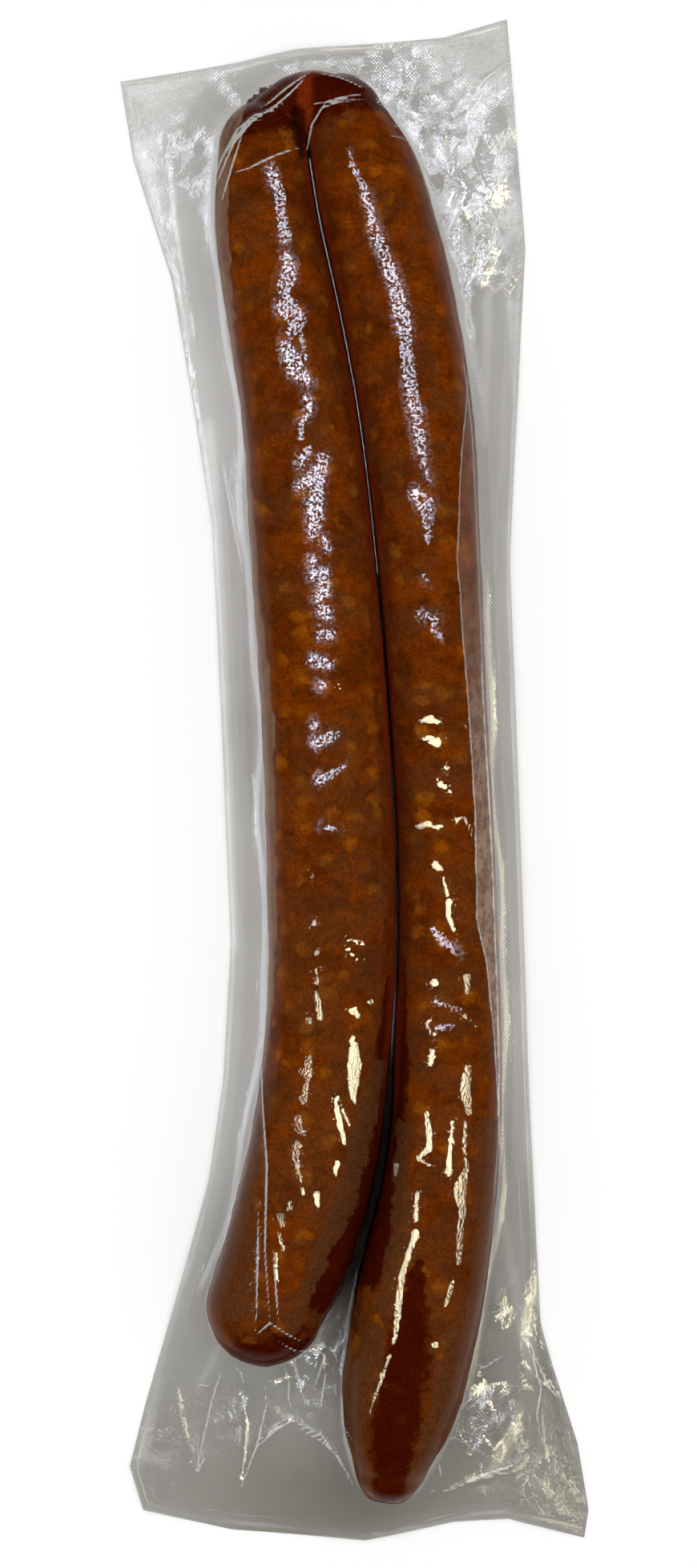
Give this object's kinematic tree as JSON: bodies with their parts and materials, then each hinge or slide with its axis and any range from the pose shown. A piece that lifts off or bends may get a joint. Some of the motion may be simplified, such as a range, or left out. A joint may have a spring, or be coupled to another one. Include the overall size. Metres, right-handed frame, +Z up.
{
  "type": "vacuum-packed pair of smoked sausages",
  "caption": "Long linked smoked sausages side by side in a clear vacuum bag, lying flat, with the film shrunk on to them and a flat sealed border all round.",
  "frame": {"origin": "on the table, under the middle of the bag's outline", "axes": "+X across the pack, +Y along the sausages towards the end where they are linked, +Z up"},
  "size_m": [0.1458, 0.474, 0.0399],
  "materials": {
    "smoked_casing": "mottled brown smoked casing, wet and glossy where the film clings to it",
    "clear_film": "clear glossy vacuum film, embossed with a fine diamond grid on its border"
  },
  "bodies": {
    "root": {"vacuum_pack": "smoked_casing"}
  },
  "joints": []
}
